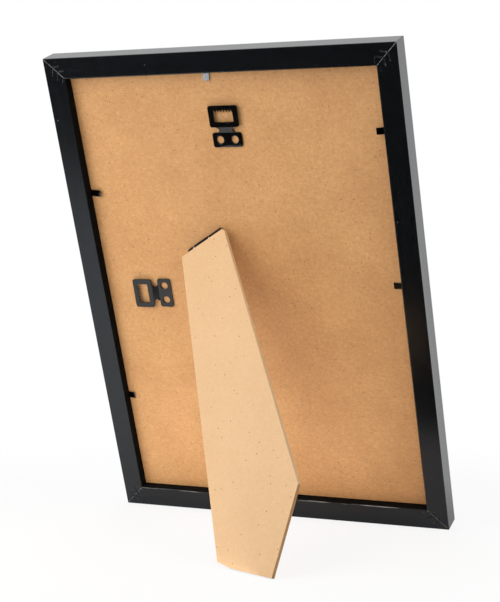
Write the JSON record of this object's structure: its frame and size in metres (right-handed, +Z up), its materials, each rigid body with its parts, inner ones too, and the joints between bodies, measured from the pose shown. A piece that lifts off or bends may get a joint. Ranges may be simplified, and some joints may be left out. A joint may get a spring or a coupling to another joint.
{
  "type": "easel back photo frame",
  "caption": "Black mitred frame with a bare fibreboard back, a folding easel strut, saw tooth hangers and bendable tabs, shown standing upright on its strut.",
  "frame": {"origin": "on the table, under the middle of the bounding box of the frame as it stands with its strut open", "axes": "+Z up; +Y from the picture to the strut, so the picture faces -Y; +X to the left as seen from behind"},
  "size_m": [0.239, 0.1773, 0.3128],
  "materials": {
    "black_rail": "black film wrapped on a fibreboard core, satin, worn pale at the mitres",
    "fibreboard": "bare hardboard, matte",
    "black_steel": "black lacquered pressed steel, satin",
    "tab_steel": "dark blued spring steel, satin",
    "bright_steel": "bright drawn",
    "glazing": "clear float glass",
    "sheet": "bare card, matte"
  },
  "bodies": {
    "frame": {"rail_bottom": "black_rail", "rail_top": "black_rail", "rail_left": "black_rail", "rail_right": "black_rail", "corner_nails_bottom_left": "bright_steel", "corner_nails_bottom_right": "bright_steel", "corner_nails_top_left": "bright_steel", "corner_nails_top_right": "bright_steel", "glazing": "glazing", "picture_sheet": "sheet", "back_panel": "fibreboard", "hanger_top": "black_steel", "hanger_side": "black_steel", "tab_shank_top": "tab_steel", "tab_shank_bottom": "tab_steel", "tab_shank_left_upper": "tab_steel", "tab_shank_left_lower": "tab_steel", "tab_shank_right_upper": "tab_steel", "tab_shank_right_lower": "tab_steel", "hinge_panel_leaf": "black_steel", "hinge_pin": "bright_steel"},
    "strut": {"strut": "fibreboard", "hinge_strut_leaf": "black_steel"},
    "tab_top": {"tab_blade_top": "tab_steel"},
    "tab_bottom": {"tab_blade_bottom": "tab_steel"},
    "tab_left_upper": {"tab_blade_left_upper": "tab_steel"},
    "tab_left_lower": {"tab_blade_left_lower": "tab_steel"},
    "tab_right_upper": {"tab_blade_right_upper": "tab_steel"},
    "tab_right_lower": {"tab_blade_right_lower": "tab_steel"}
  },
  "joints": [
    {"name": "strut_fold", "type": "hinge", "parent": "frame", "child": "strut", "pos_m": [0.02705, -0.01487, 0.19039], "axis": [-0.8549, 0.1689, 0.4905], "range_deg": [0, 40.8]},
    {"name": "tab_bend_top", "type": "hinge", "parent": "frame", "child": "tab_top", "pos_m": [0.00823, 0.02008, 0.29618], "axis": [1, 0, 0], "range_deg": [-15, 70]},
    {"name": "tab_bend_bottom", "type": "hinge", "parent": "frame", "child": "tab_bottom", "pos_m": [0.00823, -0.07638, 0.01603], "axis": [-1, 0, 0], "range_deg": [0, 85]},
    {"name": "tab_bend_left_upper", "type": "hinge", "parent": "frame", "child": "tab_left_upper", "pos_m": [0.10465, -0.00535, 0.22232], "axis": [0, -0.3256, -0.9455], "range_deg": [-14, 71]},
    {"name": "tab_bend_left_lower", "type": "hinge", "parent": "frame", "child": "tab_left_lower", "pos_m": [0.10465, -0.05377, 0.08172], "axis": [0, -0.3256, -0.9455], "range_deg": [-10, 75]},
    {"name": "tab_bend_right_upper", "type": "hinge", "parent": "frame", "child": "tab_right_upper", "pos_m": [-0.10465, 0.00697, 0.2581], "axis": [0, 0.3256, 0.9455], "range_deg": [-16, 69]},
    {"name": "tab_bend_right_lower", "type": "hinge", "parent": "frame", "child": "tab_right_lower", "pos_m": [-0.10465, -0.02582, 0.16287], "axis": [0, 0.3256, 0.9455], "range_deg": [0, 85]}
  ]
}
